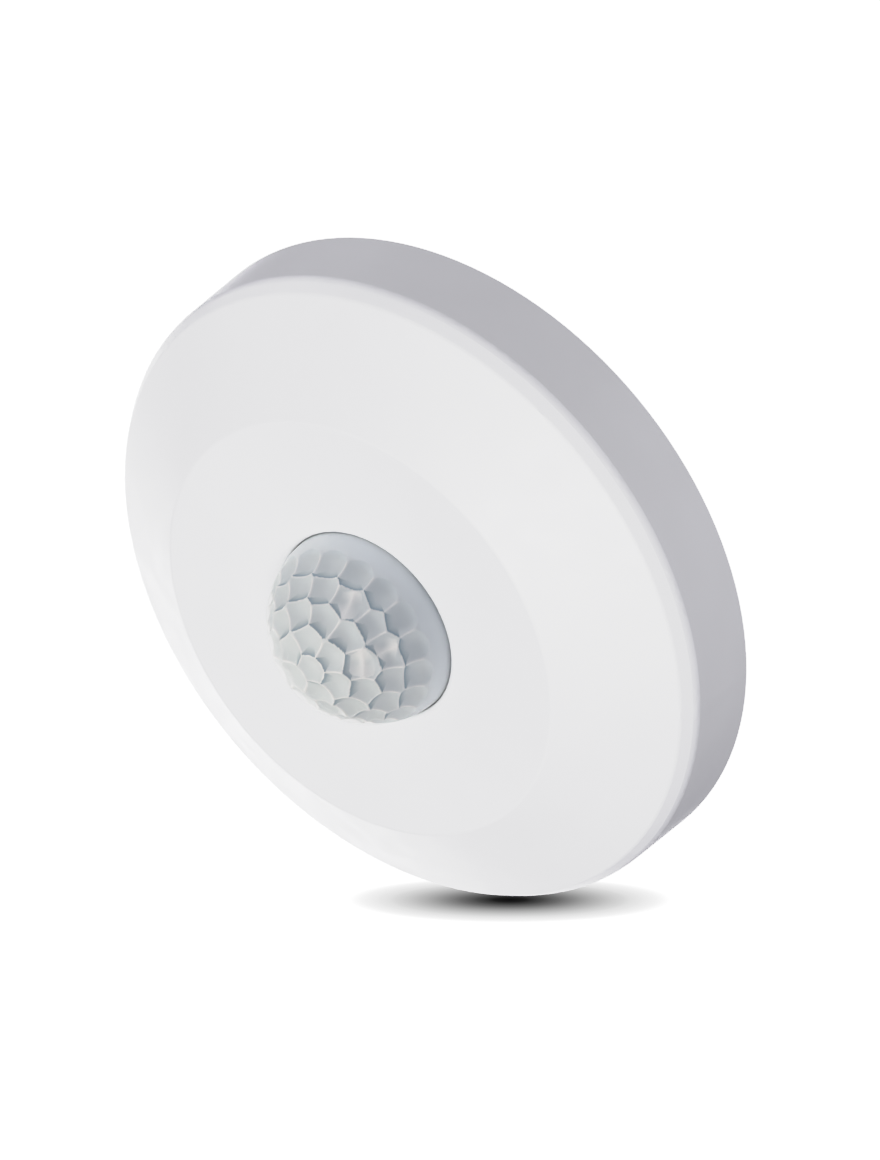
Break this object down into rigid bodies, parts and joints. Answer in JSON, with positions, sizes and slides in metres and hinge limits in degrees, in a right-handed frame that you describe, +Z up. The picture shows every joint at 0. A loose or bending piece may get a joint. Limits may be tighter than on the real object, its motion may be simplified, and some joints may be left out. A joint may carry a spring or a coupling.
{
  "type": "motion sensor",
  "caption": "Round slim surface-mounted passive infrared motion sensor with a faceted dome lens, pull-off cover, mounting base with terminals, relay board and adjusting knobs.",
  "frame": {"origin": "centre of the rear mounting face, on the wall's surface", "axes": "+Y into the wall along the disc's axis, so the lens looks along -Y; +Z up, opposite the cable entry; +X to the right seen from the room"},
  "size_m": [0.116, 0.042, 0.116],
  "materials": {
    "cover_plastic": "fine satin moulded white ABS",
    "lens_plastic": "milky translucent polyethylene",
    "base_plastic": "moulded white, slightly rougher than the cover",
    "retainer_plastic": "natural white nylon",
    "board_laminate": "paper and glass laminate with solder mask",
    "steel": "zinc plated",
    "tinned_metal": "tinned, soft shine",
    "brass": "bright turned and pressed brass",
    "relay_plastic": "moulded blue case",
    "film_plastic": "yellow box, slight shine",
    "can_sleeve": "shrunk sleeve on an aluminium can",
    "varistor_coating": "dipped epoxy",
    "fuse_coating": "flameproof coating",
    "black_epoxy": "moulded epoxy",
    "chip_body": "chip parts with end caps",
    "ceramic_body": "fired ceramic",
    "terminal_plastic": "moulded nylon",
    "holder_plastic": "moulded white",
    "can_metal": "nickel plated cap",
    "filter_window": "coated silicon filter",
    "photocell_ceramic": "photocell face under clear lacquer",
    "led_epoxy": "diffused red epoxy",
    "trimmer_plastic": "moulded blue housing",
    "knob_plastic": "moulded white knob"
  },
  "bodies": {
    "base": {"mounting_base": "base_plastic", "circuit_board": "board_laminate", "board_screws": "steel", "component_leads": "tinned_metal", "solder_joints": "tinned_metal", "relay": "relay_plastic", "film_capacitor": "film_plastic", "smoothing_capacitor": "can_sleeve", "timing_capacitors": "can_sleeve", "varistor": "varistor_coating", "fuse_resistor": "fuse_coating", "rectifier_diodes": "black_epoxy", "voltage_regulator": "black_epoxy", "relay_transistor": "black_epoxy", "controller_chip": "black_epoxy", "chip_legs": "tinned_metal", "chip_resistors": "chip_body", "chip_ceramics": "ceramic_body", "terminal_block": "terminal_plastic", "terminal_bars": "brass", "sensor_holder": "holder_plastic", "pir_can": "can_metal", "pir_window": "filter_window", "pir_leads": "tinned_metal", "light_sensor": "photocell_ceramic", "light_sensor_leads": "tinned_metal", "indicator_light": "led_epoxy", "indicator_leads": "tinned_metal", "time_trimmer": "trimmer_plastic", "light_trimmer": "trimmer_plastic"},
    "cover": {"front_cover": "cover_plastic", "dome_lens": "lens_plastic", "lens_retainer": "retainer_plastic"},
    "time_knob": {"time_knob": "knob_plastic"},
    "light_knob": {"light_knob": "knob_plastic"},
    "live_screw": {"live_terminal_screw": "steel"},
    "live_cage": {"live_terminal_cage": "brass"},
    "neutral_screw": {"neutral_terminal_screw": "steel"},
    "neutral_cage": {"neutral_terminal_cage": "brass"},
    "load_screw": {"load_terminal_screw": "steel"},
    "load_cage": {"load_terminal_cage": "brass"}
  },
  "joints": [
    {"name": "cover_pull", "type": "slide", "parent": "base", "child": "cover", "axis": [0, -1, 0], "range_m": [0, 0.05]},
    {"name": "time_turn", "type": "hinge", "parent": "base", "child": "time_knob", "pos_m": [0.02537, -0.013, 0.00923], "axis": [0, 1, 0], "range_deg": [-135, 135]},
    {"name": "light_turn", "type": "hinge", "parent": "base", "child": "light_knob", "pos_m": [0.01549, -0.013, 0.02212], "axis": [0, 1, 0], "range_deg": [-135, 135]},
    {"name": "live_screw_turn", "type": "hinge", "parent": "base", "child": "live_screw", "pos_m": [-0.0075, -0.0173, -0.0214], "axis": [0, 1, 0], "range_deg": [0, 1445]},
    {"name": "live_cage_rise", "type": "slide", "parent": "base", "child": "live_cage", "axis": [0, -1, 0], "range_m": [0, 0.002]},
    {"name": "neutral_screw_turn", "type": "hinge", "parent": "base", "child": "neutral_screw", "pos_m": [0, -0.0173, -0.0214], "axis": [0, 1, 0], "range_deg": [0, 1445]},
    {"name": "neutral_cage_rise", "type": "slide", "parent": "base", "child": "neutral_cage", "axis": [0, -1, 0], "range_m": [0, 0.002]},
    {"name": "load_screw_turn", "type": "hinge", "parent": "base", "child": "load_screw", "pos_m": [0.0075, -0.0173, -0.0214], "axis": [0, 1, 0], "range_deg": [0, 1445]},
    {"name": "load_cage_rise", "type": "slide", "parent": "base", "child": "load_cage", "axis": [0, -1, 0], "range_m": [0, 0.002]}
  ],
  "couplings": [
    {"joint": "live_screw_turn", "follows": "live_cage_rise", "rad_per_m": 12566},
    {"joint": "neutral_screw_turn", "follows": "neutral_cage_rise", "rad_per_m": 12566},
    {"joint": "load_screw_turn", "follows": "load_cage_rise", "rad_per_m": 12566}
  ]
}
